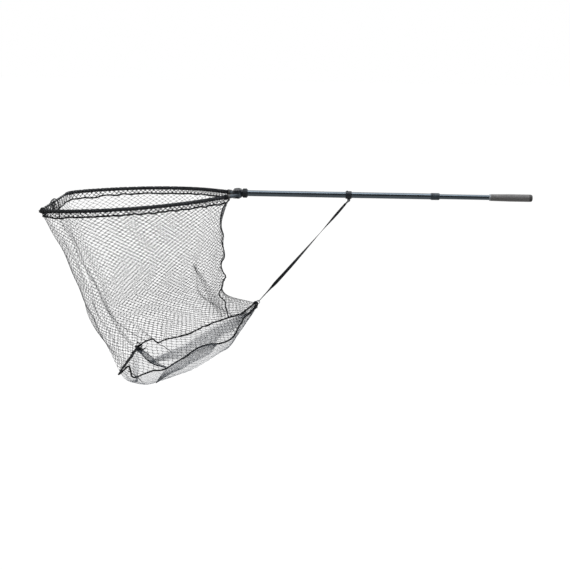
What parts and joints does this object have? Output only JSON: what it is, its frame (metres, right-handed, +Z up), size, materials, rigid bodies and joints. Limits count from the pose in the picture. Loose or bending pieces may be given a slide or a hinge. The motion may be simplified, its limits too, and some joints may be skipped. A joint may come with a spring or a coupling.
{
  "type": "landing net",
  "caption": "Folding landing net: two curved arms in a yoke, a tapered net bag with a fine mesh base, a telescopic handle with a twist lock, and a carrying strap.",
  "frame": {"origin": "on the handle's axis, where a hand holds the outer tube, 590 mm behind the yoke's front face", "axes": "+X along the handle towards the butt, +Z up with the bag hanging down, +Y to the far arm"},
  "size_m": [1.751, 0.618, 0.735],
  "materials": {
    "tube_anodised": "satin anodised gunmetal",
    "inner_anodised": "satin anodised gunmetal",
    "moulded_black": "moulded",
    "acetal": "smooth",
    "grip_foam": "closed-cell foam",
    "trim_light": "smooth",
    "cap_rubber": "moulded",
    "steel": "zinc plated",
    "arm_alloy": "painted",
    "socket_alloy": "satin",
    "net_dark": "knotted thread",
    "cord_black": "braided",
    "mesh_fine": "fine mesh",
    "webbing": "woven"
  },
  "bodies": {
    "shaft": {"outer_tube": "tube_anodised", "end_ferrule": "moulded_black", "guide_bush": "acetal", "yoke_body": "moulded_black", "yoke_cover": "moulded_black", "cover_screws": "steel", "pivot_pins": "steel", "pivot_washers": "acetal", "head_rivet": "steel", "ring_clip": "steel", "strap_collar": "moulded_black", "collar_screw": "steel", "strap_ring": "steel", "strap": "webbing", "corner_ring": "steel", "near_net": "net_dark", "far_net": "net_dark", "base_pouch": "mesh_fine", "base_cord": "cord_black", "rear_seam_cord": "cord_black", "front_cord": "cord_black", "front_hem": "net_dark", "front_seam_cord": "cord_black"},
    "near_side": {"near_arm": "arm_alloy", "near_socket": "socket_alloy", "near_collar": "cap_rubber", "near_tip_cap": "moulded_black", "near_hem": "net_dark", "near_seam_cord": "cord_black"},
    "far_side": {"far_arm": "arm_alloy", "far_socket": "socket_alloy", "far_collar": "cap_rubber", "far_tip_cap": "moulded_black", "far_hem": "net_dark", "far_seam_cord": "cord_black"},
    "knurled_ring": {"lock_ring": "moulded_black"},
    "twist_plug": {"expander_sleeve": "acetal"},
    "handle_end": {"inner_tube": "inner_anodised", "grip": "grip_foam", "grip_ring": "trim_light", "butt_cap": "cap_rubber", "end_plug": "acetal", "stud_nut": "steel"}
  },
  "joints": [
    {"name": "near_arm_fold", "type": "hinge", "parent": "shaft", "child": "near_side", "pos_m": [-0.56205, -0.029, -0.00439], "axis": [0.0576, 0, -0.9983], "range_deg": [0, 16], "deforming": ["front_cord", "front_hem", "front_seam_cord"]},
    {"name": "far_arm_fold", "type": "hinge", "parent": "shaft", "child": "far_side", "pos_m": [-0.56205, 0.029, -0.00439], "axis": [-0.0576, 0, 0.9983], "range_deg": [0, 16]},
    {"name": "ring_turn", "type": "hinge", "parent": "shaft", "child": "knurled_ring", "pos_m": [-0.54, 0, 0], "axis": [1, 0, 0], "range_deg": [0, 90]},
    {"name": "telescope", "type": "slide", "parent": "shaft", "child": "twist_plug", "axis": [1, 0, 0], "range_m": [-0.168, 0.32]},
    {"name": "twist_lock", "type": "hinge", "parent": "twist_plug", "child": "handle_end", "pos_m": [-0.265, 0, 0], "axis": [1, 0, 0], "range_deg": [0, 120]}
  ]
}
